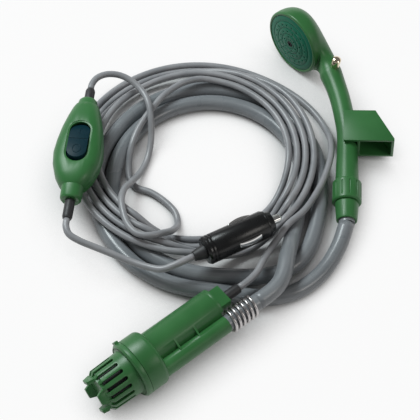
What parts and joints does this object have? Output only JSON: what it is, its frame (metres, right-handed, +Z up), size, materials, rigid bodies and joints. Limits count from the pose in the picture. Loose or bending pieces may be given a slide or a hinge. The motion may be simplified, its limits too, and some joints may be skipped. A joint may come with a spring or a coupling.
{
  "type": "camp shower pump",
  "caption": "Portable camp shower: submersible pump with a slotted strainer, hose to a hand shower with a shut-off pin, and a cable with an in-line switch and a lighter plug.",
  "frame": {"origin": "on the floor, under the middle of the pump and the hand shower as they lie", "axes": "+Z up, +Y from the pump towards the shower head along the longest side, +X to the hand shower's side"},
  "size_m": [0.2561, 0.3422, 0.054],
  "materials": {
    "green_plastic": "satin moulded",
    "dark_green_plastic": "satin moulded",
    "black_rubber": "matt",
    "black_plastic": "gloss moulded",
    "navy_plastic": "satin moulded",
    "grey_hose": "satin soft vinyl",
    "grey_cable": "satin soft vinyl",
    "spring_steel": "drawn",
    "chrome_plate": "plated",
    "brass": "turned",
    "motor_iron": "plain",
    "fuse_glass": "clear"
  },
  "bodies": {
    "fixed_pieces": {"pump_housing": "green_plastic", "pump_end_cap": "green_plastic", "cap_o_ring": "black_rubber", "cable_gland": "black_rubber", "inlet_plate": "dark_green_plastic", "motor_can": "spring_steel", "motor_magnets": "motor_iron", "front_bush": "brass", "rear_bush": "brass", "motor_bell": "black_plastic", "motor_brushes": "motor_iron", "shaft_seal": "black_rubber", "hose_cuff_pump": "grey_hose", "hose_clamp": "spring_steel", "handset_shell": "green_plastic", "hanger_bracket": "green_plastic", "spray_plate": "dark_green_plastic", "spray_screw": "spring_steel", "face_gasket": "black_rubber", "hose_barb": "brass", "hose_ferrule": "green_plastic", "coupling_washer": "black_rubber", "hose_cuff_handset": "grey_hose", "switch_base": "green_plastic", "switch_cover": "green_plastic", "rocker_pin": "spring_steel", "switch_contacts": "brass", "switch_screws": "spring_steel", "sleeve_supply": "black_rubber", "sleeve_plug": "black_rubber", "plug_barrel": "black_plastic", "plug_boot": "black_rubber", "plug_nose": "black_plastic", "plug_fuse": "fuse_glass", "hose_pump_lead": "grey_hose", "hose_coil": "grey_hose", "hose_handset_lead": "grey_hose", "cable_pump_lead": "grey_cable", "cable_coil": "grey_cable", "cable_switch_lead": "grey_cable", "cable_plug_lead": "grey_cable"},
    "motor_rotor_body": {"impeller": "black_plastic", "motor_shaft": "spring_steel", "motor_rotor": "motor_iron"},
    "strainer": {"strainer_basket": "green_plastic"},
    "shut_off_pin": {"stop_pin": "chrome_plate", "stop_pin_seals": "black_rubber"},
    "union_nut": {"coupling_nut": "green_plastic"},
    "rocker": {"switch_rocker": "navy_plastic"},
    "tip": {"plug_tip": "chrome_plate"},
    "near_contact": {"contact_near": "spring_steel"},
    "far_contact": {"contact_far": "spring_steel"}
  },
  "joints": [
    {"name": "impeller_spin", "type": "hinge", "parent": "fixed_pieces", "child": "motor_rotor_body", "pos_m": [-0.05315, -0.11511, 0.0204], "axis": [0.7771, 0.6293, 0], "continuous": true},
    {"name": "strainer_twist", "type": "hinge", "parent": "fixed_pieces", "child": "strainer", "pos_m": [-0.08949, -0.14968, 0.0204], "axis": [0.7771, 0.6293, 0], "range_deg": [0, 30]},
    {"name": "shut_off_slide", "type": "slide", "parent": "fixed_pieces", "child": "shut_off_pin", "axis": [-0.1, 0.0758, -0.9921], "range_m": [0, 0.008]},
    {"name": "union_nut_turn", "type": "hinge", "parent": "fixed_pieces", "child": "union_nut", "pos_m": [0.07392, 0.00783, 0.01304], "axis": [0.0626, 0.9956, 0.0698], "continuous": true},
    {"name": "rocker_tilt", "type": "hinge", "parent": "fixed_pieces", "child": "rocker", "pos_m": [-0.12505, 0.03354, 0.037], "axis": [0.9962, -0.0872, 0], "range_deg": [0, 16]},
    {"name": "tip_press", "type": "slide", "parent": "fixed_pieces", "child": "tip", "axis": [-0.8829, -0.4695, 0], "range_m": [0, 0.0025], "stiffness_N_per_m": 1200},
    {"name": "near_contact_press", "type": "slide", "parent": "fixed_pieces", "child": "near_contact", "axis": [-0.4412, 0.8297, -0.342], "range_m": [0, 0.0012], "stiffness_N_per_m": 1500},
    {"name": "far_contact_press", "type": "slide", "parent": "fixed_pieces", "child": "far_contact", "axis": [0.4412, -0.8297, -0.342], "range_m": [0, 0.0012], "stiffness_N_per_m": 1500}
  ]
}
